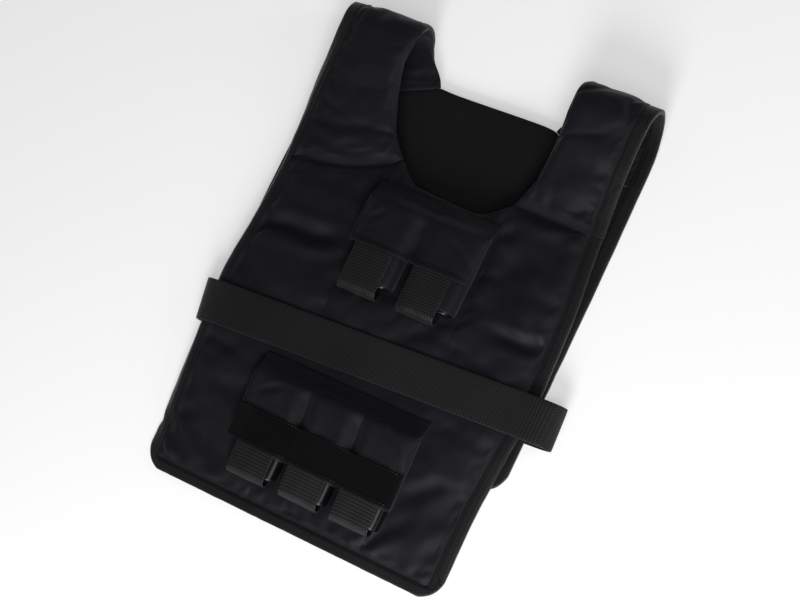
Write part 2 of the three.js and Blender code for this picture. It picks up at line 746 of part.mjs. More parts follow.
// A webbing tab from under the flap, round the end of a weight and back to the panel.
function makeTab(name, pocket, centre, shift) {
  const half = SLEEVE_WIDTH / 2;
  const edges = [centre + shift - TAB_WIDTH / 2, centre + shift + TAB_WIDTH / 2];
  const kinks = FLAP_SECTION.map(({ across }) => centre + across * half);
  const columns = [edges[0], ...kinks.filter((x) => x > edges[0] + KINK_MARGIN && x < edges[1] - KINK_MARGIN), edges[1]];
  const crown = FLAP_SECTION.map(({ across, rise }) => ({ x: centre + across * half, rise }));
  const radius = (SLEEVE_HEIGHT + CLEARANCE) / 2;
  const curl = radius + TAB_WALL / 2 - pocket.length - pocket.weightPast - pocket.tabPast;
  const stations = [
    { y: -pocket.flap + pocket.tabUnderFlap, turn: Math.PI / 2 },
    { y: -pocket.flap, turn: Math.PI / 2 },
  ];
  for (let step = 0; step <= TAB_STEPS; step += 1) {
    stations.push({ y: curl, turn: Math.PI * (0.5 - (TAB_TURN * step) / TAB_STEPS) });
  }
  const layer = (off) =>
    stations.map(({ y, turn }) =>
      columns.map((x) => {
        const top = SLEEVE_HEIGHT * read(crown, "x", "rise", x) + CLEARANCE + TAB_WALL / 2;
        const rise = (top - TAB_WALL / 2) / 2;
        const z = TAB_WALL / 2 + rise + (rise + off) * Math.sin(turn);
        return point(x, y - (radius + off) * Math.cos(turn), z);
      }),
    );
  return wall(name, layer(TAB_WALL / 2), layer(-TAB_WALL / 2), webbing);
}

// A pocket in its own frame: the flap's seam at y = 0, the panel at z = 0.
function makePocket(pocket) {
  const group = new THREE.Group();
  const pitch = SLEEVE_WIDTH + pocket.between;
  const first = (-pitch * (pocket.sleeves.length - 1)) / 2;
  const centres = pocket.sleeves.map((unused, index) => first + index * pitch);
  const across = flapAcross(pocket, centres);
  pocket.sleeves.forEach(({ side, tabShift }, index) => {
    const sleeve = makeSleeve(pocket.name + "_sleeve_" + side, pocket.length);
    const weight = makeWeight(pocket.name + "_weight_" + side, pocket.length, pocket.weightPast);
    sleeve.position.x = centres[index];
    weight.position.x = centres[index];
    const tab = makeTab(pocket.name + "_tab_" + side, pocket, centres[index], tabShift);
    group.add(sleeve, weight, tab);
  });
  group.add(makeFlap(pocket, across));
  if (pocket.band) group.add(makeBand(pocket, across));
  group.position.set(pocket.x, pocket.seam, frontBase(pocket.seam) + PAD + CLEARANCE);
  return group;
}

// The belt: one closed band of webbing over the front and under the back.
function makeBelt() {
  const bottom = BELT_WALL / 2;
  const top = FRONT_TOP_Z + CLEARANCE + BELT_WALL / 2;
  const course = BELT_COURSE.map(
    ({ across, rise }) => new THREE.Vector2(across * HALF_WIDTH, mix(bottom, top, rise)),
  );
  const slantStart = -BELT_COURSE[0].across * HALF_WIDTH;
  const slantEnd = -Math.min(...BELT_COURSE.map(({ across }) => across)) * HALF_WIDTH;
  const layer = (off) =>
    course.map((place, index) => {
      const before = course[(index + course.length - 1) % course.length];
      const after = course[(index + 1) % course.length];
      const into = place.clone().sub(before).normalize();
      const away = after.clone().sub(place).normalize();
      const tangent = into.clone().add(away).normalize();
      const reach = off / tangent.dot(into);
      const x = place.x + tangent.y * reach;
      const z = place.y - tangent.x * reach;
      const lean = (BELT_SLANT * BELT_WIDTH) / 2 * share(-place.x, slantStart, slantEnd);
      return [point(x + lean, -BELT_WIDTH / 2, z), point(x - lean, BELT_WIDTH / 2, z)];
    });
  const belt = wall("waist_belt", layer(BELT_WALL / 2), layer(-BELT_WALL / 2), webbing, { looped: true });
  belt.position.y = BELT_Y;
  belt.rotation.z = THREE.MathUtils.degToRad(BELT_TILT);
  return belt;
}

const chestPocket = makePocket(CHEST);
const bellyPocket = makePocket(BELLY);
bellyPocket.rotation.x = Math.atan2(FRONT_Z, RAMP_END - RAMP_START);

const vest = new THREE.Group();
vest.add(front.mesh, back.mesh);
vest.add(panelBinding("front_binding", front.sides));
vest.add(panelBinding("back_binding", back.sides));
vest.add(...makeStrap("left", -1));
vest.add(...makeStrap("right", 1));
vest.add(chestPocket, bellyPocket, makeBelt());

// The origin is under the middle of the vest.
const box = new THREE.Box3().setFromObject(vest, true);
vest.position.set(-(box.min.x + box.max.x) / 2, -(box.min.y + box.max.y) / 2, -box.min.z);

export default vest;
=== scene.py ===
# A weighted vest of black padded cloth, laid on its back with the front up. Lengths are in metres.
import math

import bmesh
import bpy
import numpy as np
from mathutils import Matrix, Vector, noise
from mathutils.bvhtree import BVHTree


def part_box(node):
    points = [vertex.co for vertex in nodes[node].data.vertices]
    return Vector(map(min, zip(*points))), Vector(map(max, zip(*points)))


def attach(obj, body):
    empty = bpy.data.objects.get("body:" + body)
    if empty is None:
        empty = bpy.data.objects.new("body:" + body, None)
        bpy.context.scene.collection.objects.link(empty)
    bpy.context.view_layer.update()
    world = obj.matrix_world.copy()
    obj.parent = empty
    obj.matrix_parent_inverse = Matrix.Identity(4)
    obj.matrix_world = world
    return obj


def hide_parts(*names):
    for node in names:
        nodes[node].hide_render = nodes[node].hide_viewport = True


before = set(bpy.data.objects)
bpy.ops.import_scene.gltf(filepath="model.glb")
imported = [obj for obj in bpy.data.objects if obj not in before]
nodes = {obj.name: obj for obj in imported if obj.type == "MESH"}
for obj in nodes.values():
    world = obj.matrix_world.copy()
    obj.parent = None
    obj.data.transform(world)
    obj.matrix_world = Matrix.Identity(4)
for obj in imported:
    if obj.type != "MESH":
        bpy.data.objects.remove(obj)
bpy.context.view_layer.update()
scene = bpy.context.scene

# The view: the vest is seen from above and from its left hand side, on a plain white table, in soft
# light that comes mostly from the hem's end.
EYE = Vector((0.67087, -0.26951, 1.80453))
AIM = Vector((-0.00001, -0.01201, 0.02))
CAMERA_UP = Vector((-0.36507, 0.89217, 0.26599))
LENS = 76.5
SENSOR = 36.0
TABLE_SIZE = 12.0
TABLE_TOP = -0.0004
TABLE_COLOUR = (0.86, 0.86, 0.87, 1)
TABLE_ROUGHNESS = 0.9
TABLE_GLOW = 0.45
WHITE = (1, 1, 1, 1)
LAMPS = [
    {"name": "key", "at": (0.75, -2.0, 1.15), "size": 1.0, "watts": 38.0},
    {"name": "near", "at": (1.3, -1.0, 2.1), "size": 1.2, "watts": 12.0},
    {"name": "side", "at": (2.2, 0.9, 1.0), "size": 1.0, "watts": 9.0},
]
SKY = 0.10


def plain_paint(name, values):
    """A material with one value for each named input of its shader."""
    material = bpy.data.materials.new(name)
    material.use_nodes = True
    for socket, value in values.items():
        material.node_tree.nodes["Principled BSDF"].inputs[socket].default_value = value
    return material


camera = bpy.data.objects.new("camera", bpy.data.cameras.new("camera"))
scene.collection.objects.link(camera)
look = (AIM - EYE).normalized()
across_view = look.cross(CAMERA_UP).normalized()
turn = Matrix((across_view, across_view.cross(look), -look)).transposed()
camera.matrix_world = Matrix.Translation(EYE) @ turn.to_4x4()
camera.data.lens = LENS
camera.data.sensor_width = SENSOR
scene.camera = camera
scene.view_settings.view_transform = "Standard"

bpy.ops.mesh.primitive_plane_add(size=TABLE_SIZE, location=(0, 0, TABLE_TOP))
table = bpy.context.object
table.name = "table"
table.data.materials.append(
    plain_paint(
        "table_paint",
        {
            "Base Color": TABLE_COLOUR,
            "Roughness": TABLE_ROUGHNESS,
            "Emission Color": WHITE,
            "Emission Strength": TABLE_GLOW,
        },
    )
)

for lamp in LAMPS:
    light = bpy.data.objects.new(lamp["name"], bpy.data.lights.new(lamp["name"], "AREA"))
    scene.collection.objects.link(light)
    light.location = lamp["at"]
    light.rotation_euler = (-Vector(lamp["at"])).to_track_quat("-Z", "Y").to_euler()
    light.data.size = lamp["size"]
    light.data.energy = lamp["watts"]
world = bpy.data.worlds.new("studio")
world.use_nodes = True
world.node_tree.nodes["Background"].inputs["Color"].default_value = WHITE
world.node_tree.nodes["Background"].inputs["Strength"].default_value = SKY
scene.world = world

# The cloth: black coated polyester in a fine plain weave, with a faint violet cast and a soft sheen.
# The same weave, coarser and ribbed, makes the webbing and the binding tape.
CLOTH_DARK = (0.0056, 0.0053, 0.0080)
CLOTH_LIGHT = (0.0114, 0.0107, 0.0163)
CLOTH_THREAD = 0.0009
CLOTH_RELIEF = 0.00012
RIB_SHARE = 0.7
CLOUD_DETAIL = 4.0
CLOUD_RANGE = (0.3, 0.7)
PATCH_SCALE = 9.0
PATCH_TONE = 0.6
# How far the threads' crests are painted lighter than the hollows between them: painted shade of the
# weave's relief.
WEAVE_SHADE = 0.4
ROUGHER = 0.08
SMOOTHER = 0.04
GRAIN_SCALE = 900.0
GRAIN_DETAIL = 2.0
GRAIN_HEIGHT = 0.25
CLOTH_GLOSS = {"rough": 0.57, "specular": 0.22, "sheen": 0.08, "sheen_rough": 0.45}


def weave_group():
    """Threads over and under each other, as a height from 0 to 1. Rib turns them into cross ribs."""
    group = bpy.data.node_groups.new("weave", "ShaderNodeTree")
    group.interface.new_socket("Vector", in_out="INPUT", socket_type="NodeSocketVector")
    group.interface.new_socket("Thread", in_out="INPUT", socket_type="NodeSocketFloat")
    group.interface.new_socket("Rib", in_out="INPUT", socket_type="NodeSocketFloat")
    group.interface.new_socket("Height", in_out="OUTPUT", socket_type="NodeSocketFloat")
    given = group.nodes.new("NodeGroupInput")
    made = group.nodes.new("NodeGroupOutput")

    def reckon(operation, first, second=None, third=None):
        node = group.nodes.new("ShaderNodeMath")
        node.operation = operation
        for socket, value in zip(node.inputs, (first, second, third)):
            if value is None:
                continue
            if isinstance(value, (int, float)):
                socket.default_value = value
            else:
                group.links.new(value, socket)
        return node.outputs[0]

    parts = group.nodes.new("ShaderNodeSeparateXYZ")
    group.links.new(given.outputs["Vector"], parts.inputs[0])
    waves = []
    for axis in ("X", "Y"):
        turns = reckon("DIVIDE", parts.outputs[axis], given.outputs["Thread"])
        waves.append(reckon("SINE", reckon("MULTIPLY", turns, math.pi)))
    plain = reckon("MULTIPLY", waves[0], waves[1])
    ribbed = reckon("MULTIPLY_ADD", plain, 1 - RIB_SHARE, reckon("MULTIPLY", waves[1], RIB_SHARE))
    share = given.outputs["Rib"]
    kept = reckon("MULTIPLY", plain, reckon("SUBTRACT", 1.0, share))
    mixed = reckon("MULTIPLY_ADD", ribbed, share, kept)
    group.links.new(reckon("MULTIPLY_ADD", mixed, 0.5, 0.5), made.inputs["Height"])
    return group


def uneven_group():
    """Cloudy patches of handling and dust on cloth, from 0 to 1."""
    group = bpy.data.node_groups.new("uneven", "ShaderNodeTree")
    group.interface.new_socket("Vector", in_out="INPUT", socket_type="NodeSocketVector")
    group.interface.new_socket("Scale", in_out="INPUT", socket_type="NodeSocketFloat")
    group.interface.new_socket("Patches", in_out="OUTPUT", socket_type="NodeSocketFloat")
    given = group.nodes.new("NodeGroupInput")
    made = group.nodes.new("NodeGroupOutput")
    cloud = group.nodes.new("ShaderNodeTexNoise")
    cloud.inputs["Detail"].default_value = CLOUD_DETAIL
    spread = group.nodes.new("ShaderNodeMapRange")
    spread.inputs["From Min"].default_value = CLOUD_RANGE[0]
    spread.inputs["From Max"].default_value = CLOUD_RANGE[1]
    group.links.new(given.outputs["Vector"], cloud.inputs["Vector"])
    group.links.new(given.outputs["Scale"], cloud.inputs["Scale"])
    group.links.new(cloud.outputs[0], spread.inputs["Value"])
    group.links.new(spread.outputs[0], made.inputs["Patches"])
    return group


weave = weave_group()
uneven = uneven_group()


def fabric(name, dark, light, thread, rib, relief, gloss, fuzz=0.0):
    """A cloth material on the piece's own UV map, in metres. Relief is the height of its threads."""
    material = bpy.data.materials.new(name)
    material.use_nodes = True
    tree = material.node_tree
    shader = tree.nodes["Principled BSDF"]
    shader.inputs["Specular IOR Level"].default_value = gloss["specular"]
    shader.inputs["Sheen Weight"].default_value = gloss["sheen"]
    shader.inputs["Sheen Roughness"].default_value = gloss["sheen_rough"]
    place = tree.nodes.new("ShaderNodeTexCoord")
    threads = tree.nodes.new("ShaderNodeGroup")
    threads.node_tree = weave
    threads.inputs["Thread"].default_value = thread
    threads.inputs["Rib"].default_value = rib
    tree.links.new(place.outputs["UV"], threads.inputs["Vector"])
    clouds = tree.nodes.new("ShaderNodeGroup")
    clouds.node_tree = uneven
    clouds.inputs["Scale"].default_value = PATCH_SCALE
    tree.links.new(place.outputs["Object"], clouds.inputs["Vector"])
    tone = tree.nodes.new("ShaderNodeMix")
    tone.data_type = "RGBA"
    tone.inputs["A"].default_value = (*dark, 1)
    tone.inputs["B"].default_value = (*light, 1)
    blend = tree.nodes.new("ShaderNodeMath")
    blend.operation = "MULTIPLY_ADD"
    blend.inputs[1].default_value = PATCH_TONE
    # The colour goes from dark to light with the random patches, and with the thread height as painted
    # shade: crests painted lighter, hollows between the threads painted darker.
    painted_weave_shade = tree.nodes.new("ShaderNodeMath")
    painted_weave_shade.operation = "MULTIPLY"
    painted_weave_shade.inputs[1].default_value = WEAVE_SHADE
    tree.links.new(threads.outputs["Height"], painted_weave_shade.inputs[0])
    tree.links.new(clouds.outputs["Patches"], blend.inputs[0])
    tree.links.new(painted_weave_shade.outputs[0], blend.inputs[2])
    tree.links.new(blend.outputs[0], tone.inputs["Factor"])
    tree.links.new(tone.outputs["Result"], shader.inputs["Base Color"])
    rough = tree.nodes.new("ShaderNodeMapRange")
    rough.inputs["To Min"].default_value = gloss["rough"] + ROUGHER
    rough.inputs["To Max"].default_value = gloss["rough"] - SMOOTHER
    tree.links.new(clouds.outputs["Patches"], rough.inputs["Value"])
    tree.links.new(rough.outputs[0], shader.inputs["Roughness"])
    grain = tree.nodes.new("ShaderNodeTexNoise")
    grain.inputs["Scale"].default_value = GRAIN_SCALE
    grain.inputs["Detail"].default_value = GRAIN_DETAIL
    tree.links.new(place.outputs["Object"], grain.inputs["Vector"])
    height = tree.nodes.new("ShaderNodeMath")
    height.operation = "MULTIPLY_ADD"
    height.inputs[1].default_value = GRAIN_HEIGHT + fuzz
    tree.links.new(grain.outputs[0], height.inputs[0])
    tree.links.new(threads.outputs["Height"], height.inputs[2])
    bump = tree.nodes.new("ShaderNodeBump")
    bump.inputs["Strength"].default_value = 1.0
    bump.inputs["Distance"].default_value = relief
    tree.links.new(height.outputs[0], bump.inputs["Height"])
    tree.links.new(bump.outputs[0], shader.inputs["Normal"])
    return material


cloth = fabric("cloth", CLOTH_DARK, CLOTH_LIGHT, CLOTH_THREAD, 0.0, CLOTH_RELIEF, CLOTH_GLOSS)

# The front and the shoulder straps: two layers of the cloth with filling between, stitched flat
# under the binding and creased where the straps rise to the fold. The folded straps and the front lie
# along one course, seen from the side as y and z of the padding's middle.
COURSE = [
    (-0.3014, 0.0053), (-0.2724, 0.0053), (-0.2000, 0.0142), (-0.1234, 0.0238), (-0.0300, 0.0238),
    (0.0706, 0.0238), (0.1186, 0.0238), (0.1456, 0.0250), (0.1786, 0.0325), (0.2188, 0.0436),
    (0.2542, 0.0520), (0.2776, 0.0538), (0.2938, 0.0431), (0.2975, 0.0286), (0.2890, 0.0150),
    (0.2692, 0.0077), (0.2404, 0.0057), (0.2026, 0.0053), (0.1666, 0.0053),
]
COURSE_STEPS = 12
CHUNK = 4000
LOOSE = 1e-5
RIM_ANGLE = math.radians(50)
FLAT_ANGLE = math.radians(30)
CORNER_ANGLE = math.radians(60)
EDGE_STEP = 0.006
# The left edge rolls over, so that its tape faces outwards: how far, in degrees, by the way along
# the course. The strip beyond the roll is as wide as the tape.
TAPE = 0.0145
ROLL_FROM = 0.040
ROLL_RADIUS = 0.006
ROLL_LIFT = 0.005
ROLL_BLEND = 0.010
FULL_ROLL = 70
ROLL = [
    (0.000, 8), (0.030, 24), (0.070, 42), (0.120, 56), (0.200, 70), (0.420, 70), (0.470, 55),
    (0.520, 36), (0.570, 18), (0.620, 0),
]
# Where the belt lies over the rolled edge, x and the height of its underside. The cloth stays under
# it within the belt's reach, rises beside it, and is unbound beyond.
BELT_UNDERSIDE = [
    (-0.222, 0.0215), (-0.210, 0.0250), (-0.198, 0.0270), (-0.191, 0.0288), (-0.182, 0.0290),
]
BELT_MIDDLE = -0.0884
BELT_SLOPE = math.tan(math.radians(3.1))
BELT_REACH = 0.026
BELT_EASE = 0.014
BELT_CLEAR = 0.0004
BELT_RELEASE = 0.006
UNBOUND = 1.0
# Folds fade at their ends, and the ridge beside a valley is some valley widths away.
FADE = (-0.15, 0.3)
RIDGE = 0.35
RIDGE_AWAY = 1.9
RIDGE_WIDTH = 0.9
FAR = 9.0
NOISE_SHIFT = (7.3, 3.1, 5.7)
CREASE_SEED = 40
CREASE_FIELD = 1.7
CREASE_SHARE = (2.5, 0.35)


def soft_copy(node, name, levels, rim_crease):
    """A smooth piece in the shape of a solid of the frame, its rims kept by a crease."""
    mesh = nodes[node].data.copy()
    mesh.materials.clear()
    piece = bpy.data.objects.new(name, mesh)
    scene.collection.objects.link(piece)
    shape = bmesh.new()
    shape.from_mesh(mesh)
    bmesh.ops.remove_doubles(shape, verts=shape.verts, dist=LOOSE)
    bmesh.ops.join_triangles(
        shape,
        faces=shape.faces,
        angle_face_threshold=FLAT_ANGLE,
        angle_shape_threshold=CORNER_ANGLE,
    )
    crease = shape.edges.layers.float.new("crease_edge")
    for edge in shape.edges:
        if len(edge.link_faces) == 2 and edge.calc_face_angle() > RIM_ANGLE:
            edge[crease] = rim_crease
    shape.to_mesh(mesh)
    shape.free()
    smooth(piece, levels)
    return piece


def smooth(piece, levels):
    """Subdivides a piece and shades it smooth."""
    modifier = piece.modifiers.new("smooth", "SUBSURF")
    modifier.levels = levels
    modifier.render_levels = levels
    bpy.ops.object.select_all(action="DESELECT")
    bpy.context.view_layer.objects.active = piece
    piece.select_set(True)
    bpy.ops.object.modifier_apply(modifier=modifier.name)
    for polygon in piece.data.polygons:
        polygon.use_smooth = True


def points_of(piece):
    places = np.zeros(len(piece.data.vertices) * 3)
    piece.data.vertices.foreach_get("co", places)
    return places.reshape(-1, 3)


def set_points(piece, places):
    piece.data.vertices.foreach_set("co", places.astype(np.float32).ravel())
    piece.data.update()


def normals_of(piece):
    facing = np.zeros(len(piece.data.vertices) * 3)
    piece.data.vertices.foreach_get("normal", facing)
    return facing.reshape(-1, 3)


def table_at(rows, value):
    """The second column of a table's rows, at some values of the first."""
    return np.interp(value, [row[0] for row in rows], [row[1] for row in rows])


def eased(value, start, end):
    share = np.clip((value - start) / (end - start), 0, 1)
    return share * share * (3 - 2 * share)


def smooth_course():
    """The course as close points, by a spline through its rows, with the way along it."""
    rows = np.array(COURSE)
    rows = np.vstack([2 * rows[0] - rows[1], rows, 2 * rows[-1] - rows[-2]])
    share = (np.arange(COURSE_STEPS) / COURSE_STEPS)[:, None]
    line = []
    for a, b, c, d in zip(rows, rows[1:], rows[2:], rows[3:]):
        curve = 2 * b + (c - a) * share + (2 * a - 5 * b + 4 * c - d) * share**2
        line.append(0.5 * (curve + (3 * b - a - 3 * c + d) * share**3))
    line = np.vstack([*line, rows[-2:-1]])
    way = np.concatenate([[0], np.cumsum(np.linalg.norm(np.diff(line, axis=0), axis=1))])
    return line, way


course_line, course_way = smooth_course()


def along_course(places):
    """How far along the course each point is, and how far off its middle, out of the vest."""
    start, step = course_line[:-1], np.diff(course_line, axis=0)
    long = (step**2).sum(1)
    way, off = np.zeros(len(places)), np.zeros(len(places))
    for first in range(0, len(places), CHUNK):
        some = slice(first, first + CHUNK)
        gap = places[some, None, 1:] - start
        share = np.clip((gap * step).sum(2) / long, 0, 1)
        miss = gap - share[..., None] * step
        near = (miss**2).sum(2).argmin(1)
        row = np.arange(len(near))
        share, miss = share[row, near], miss[row, near]
        unit = step[near] / np.sqrt(long[near])[:, None]
        way[some] = course_way[near] + share * np.sqrt(long[near])
        off[some] = unit[:, 0] * miss[:, 1] - unit[:, 1] * miss[:, 0]
    return way, off


def from_course(across, way, off):
    """Points from their place across, the way along the course and the height off its middle."""
    near = np.clip(np.searchsorted(course_way, way) - 1, 0, len(course_line) - 2)
    step = np.diff(course_line, axis=0)
    long = np.linalg.norm(step, axis=1)
    unit = step / long[:, None]
    line = course_line[near] + unit[near] * (way - course_way[near])[:, None]
    middle = (course_way[1:] + course_way[:-1]) / 2
    tilt = np.column_stack([np.interp(way, middle, unit[:, 0]), np.interp(way, middle, unit[:, 1])])
    tilt /= np.linalg.norm(tilt, axis=1)[:, None]
    return np.column_stack([across, line[:, 0] - tilt[:, 1] * off, line[:, 1] + tilt[:, 0] * off])


def side_edge(pieces, side):
    """The left or right outline of some pieces, as rows of the way along the course and x."""
    places = np.vstack([points_of(piece) for piece in pieces])
    way, _ = along_course(places)
    rows = []
    for start in np.arange(0, way.max(), EDGE_STEP):
        inside = (way >= start) & (way < start + EDGE_STEP)
        if inside.any():
            rows.append((start + EDGE_STEP / 2, side * (side * places[inside, 0]).max()))
    return rows


def roll_left(piece, edge):
    """Rolls the left edge down, with its outline kept."""
    places = points_of(piece)
    way, off = along_course(places)
    inset = places[:, 0] - table_at(edge, way)
    out = np.clip(ROLL_FROM - inset, 0, None)
    angle = np.radians(table_at(ROLL, way))
    hang = np.clip(TAPE - ROLL_RADIUS * angle, 0, None)
    flat = ROLL_FROM - ROLL_RADIUS * np.sin(angle) - hang * np.cos(angle)
    inner = ROLL_FROM - TAPE
    path = np.where(out < inner, out * flat / inner, flat + out - inner)
    bend = np.clip((path - flat) / ROLL_RADIUS, 0, angle)
    rest = np.clip(path - flat - ROLL_RADIUS * angle, 0, None)
    reach = np.minimum(path, flat) + ROLL_RADIUS * np.sin(bend) + rest * np.cos(angle)
    drop = ROLL_RADIUS * (1 - np.cos(bend)) + rest * np.sin(angle)
    raised = off + ROLL_LIFT * (angle / math.radians(FULL_ROLL)) * eased(out, inner - ROLL_BLEND, inner)
    moved = out > 0
    across = np.where(moved, places[:, 0] + out - reach - raised * np.sin(bend), places[:, 0])
    off = np.where(moved, raised * np.cos(bend) - drop, off)
    set_points(piece, from_course(across, way, off))


def under_belt(piece):
    """Presses a piece down where the belt lies over the left edge."""
    places = points_of(piece)
    from_belt = np.abs(places[:, 1] - BELT_MIDDLE - BELT_SLOPE * places[:, 0])
    ceiling = table_at(BELT_UNDERSIDE, places[:, 0])
    ceiling = ceiling + BELT_RELEASE * eased(from_belt, BELT_REACH, BELT_REACH + BELT_EASE)
    ceiling = ceiling + UNBOUND * (from_belt > BELT_REACH + BELT_EASE)
    places[:, 2] = np.minimum(places[:, 2], ceiling - BELT_CLEAR)
    set_points(piece, places)


def fold_height(across, along, folds):
    """How far folds move a surface: each is a valley with a soft ridge on both sides."""
    height = np.zeros(len(across))
    here = np.column_stack([across, along])
    for fold in folds:
        line = np.array(fold["line"])
        nearest = np.full(len(here), FAR)
        ending = np.zeros(len(here))
        count = len(line) - 1
        for index in range(count):
            step = line[index + 1] - line[index]
            share = np.clip(((here - line[index]) @ step) / (step @ step), 0, 1)
            away = np.linalg.norm(here - line[index] - share[:, None] * step, axis=1)
            closer = away < nearest
            nearest = np.where(closer, away, nearest)
            ending = np.where(closer, (index + share) / count, ending)
        fade = np.minimum(1, eased(ending, *FADE) + fold.get("from_edge", 0))
        fade = fade * np.minimum(1, eased(1 - ending, *FADE) + fold.get("to_edge", 0))
        size = nearest / fold["width"]
        valley = -np.exp(-(size**2))
        ridge = fold.get("ridge", RIDGE) * np.exp(-(((size - RIDGE_AWAY) / RIDGE_WIDTH) ** 2))
        height += fold["depth"] * fade * (valley + ridge)
    return height


def ripple(places, size, seed):
    """Soft unevenness of about one size, from -1 to 1."""
    shift = Vector([seed * part for part in NOISE_SHIFT])
    return np.array([noise.noise(Vector(place) / size + shift) for place in places])


def creases(places, size, seed, sharp):
    """Thin random valleys, from 0 to -1, which come and go."""
    line = ripple(places, size, seed)
    field = ripple(places, size * CREASE_FIELD, seed + CREASE_SEED)
    share = np.clip(CREASE_SHARE[0] * field + CREASE_SHARE[1], 0, 1)
    return -share * np.exp(-((line / sharp) ** 2))


def swell(piece, held):
    """Lets the padded cloth swell and wrinkle between its seams, with the held points kept."""
    before = points_of(piece)
    group = piece.vertex_groups.new(name="held")
    group.add([int(index) for index in np.nonzero(held)[0]], 1.0, "REPLACE")
    modifier = piece.modifiers.new("swell", "CLOTH")
    for setting, value in SWELL.items():
        setattr(modifier.settings, setting, value)
    modifier.settings.vertex_group_mass = "held"
    modifier.settings.effector_weights.gravity = 0
    modifier.point_cache.frame_start = 1
    modifier.point_cache.frame_end = SWELL_FRAMES
    for number in range(1, SWELL_FRAMES + 1):
        scene.frame_set(number)
    found = piece.evaluated_get(bpy.context.evaluated_depsgraph_get()).to_mesh()
    after = np.zeros(len(before) * 3)
    found.vertices.foreach_get("co", after)
    move = after.reshape(-1, 3) - before
    long = np.maximum(np.linalg.norm(move, axis=1), TINY)
    move *= (SWELL_CAP * np.tanh(long / SWELL_CAP) / long)[:, None]
    piece.modifiers.remove(modifier)
    piece.vertex_groups.remove(group)
    scene.frame_set(1)
    set_points(piece, before + move)


def strap_end(piece, last):
    """Where a strap's front end or last end lies, as rows of x and the way along the course."""
    places = points_of(piece)
    way, _ = along_course(places)
    rows = []
    for x in np.arange(places[:, 0].min(), places[:, 0].max(), END_STEP):
        near = np.abs(places[:, 0] - x) < END_REACH
        if near.any():
            rows.append((x, way[near].max() if last else way[near].min()))
    return rows


def uneven_move(across_along, seed, kind):
    """Random ripples or puckers, as one row of a table says."""
    return kind["height"] * ripple(across_along * kind["stretch"], kind["size"], seed + kind["seed"])


def beside_seam(gap):
    """Puckers beside a seam, by the gap to the edge."""
    reach = np.exp(-(((gap - HELD_EDGE) / PUCKER_REACH) ** 2))
    return reach * eased(gap, HELD_EDGE - PUCKER_START, HELD_EDGE)


def unwrap(piece, along, across):
    """A UV map in metres from each point's place along and across the cloth."""
    layer = piece.data.uv_layers.new(name="cloth_map")
    corners = np.zeros(len(piece.data.loops), np.int32)
    piece.data.loops.foreach_get("vertex_index", corners)
    pair = np.column_stack([across, along])[corners]
    layer.data.foreach_set("uv", pair.astype(np.float32).ravel())


# The pockets on the front, as left, right, bottom and top, where the panel stays under them.
POCKETS = [(-0.080, 0.076, -0.012, 0.106), (-0.112, 0.100, -0.240, -0.126)]
POCKET_EASE = (-0.004, 0.008)
SWELL = {
    "quality": 5,
    "mass": 0.3,
    "tension_stiffness": 15,
    "compression_stiffness": 15,
    "shear_stiffness": 5,
    "bending_stiffness": 0.5,
    "use_pressure": True,
    "uniform_pressure_force": 4.0,
    "shrink_min": -0.03,
}
SWELL_FRAMES = 20
SWELL_CAP = 0.004
TINY = 1e-9
# Points freer than this are left to swell. The creases say how sharp the rims stay, from 0 to 1.
HELD_BELOW = 0.5
PANEL_CREASE = 0.5
TAPE_CREASE = 0.7
TABLE_GAP = 0.0004
# Only the side that faces out of the vest is folded, off the middle of the padding. It is held
# under the tape and at the straps' ends, and freed over the next few millimetres.
OUTER = (-0.001, 0.003)
HELD_EDGE = 0.013
HELD_EASE = 0.010
END_HOLD = (0.004, 0.014)
FOLD_SHARE = 1.25
# The crease where the straps join the front, on either side of the neck.
NECK = 0.060
NECK_EASE = 0.085
JOIN_WIDTH = 0.006
JOIN_DEPTH = 0.0026
JOIN_OVERLAP = 0.0035
JOIN_WAVE = {"share": 0.5, "stretch": (1.0, 0.2, 0.0), "size": 0.018, "seed": 16}
END_STEP = 0.006
END_REACH = 0.004
# Random unevenness, as its height, how it is stretched across and along, its size and its seed.
RIPPLES = [
    {"height": 0.0016, "stretch": (0.55, 1.0, 0.0), "size": 0.026, "seed": 0},
    {"height": 0.0007, "stretch": (1.0, 0.45, 0.0), "size": 0.011, "seed": 4},
]
CREASES = [
    {"height": 0.0022, "stretch": (0.6, 1.0, 0.0), "size": 0.045, "seed": 20, "sharp": 0.07},
    {"height": 0.0012, "stretch": (1.0, 0.6, 0.0), "size": 0.024, "seed": 24, "sharp": 0.09},
]
SIDE_PUCKERS = {"height": 0.0009, "stretch": (0.2, 1.0, 0.0), "size": 0.009, "seed": 8}
HEM_PUCKERS = {"height": 0.0009, "stretch": (1.0, 0.2, 0.0), "size": 0.009, "seed": 12}
PUCKER_REACH = 0.012
PUCKER_START = 0.004
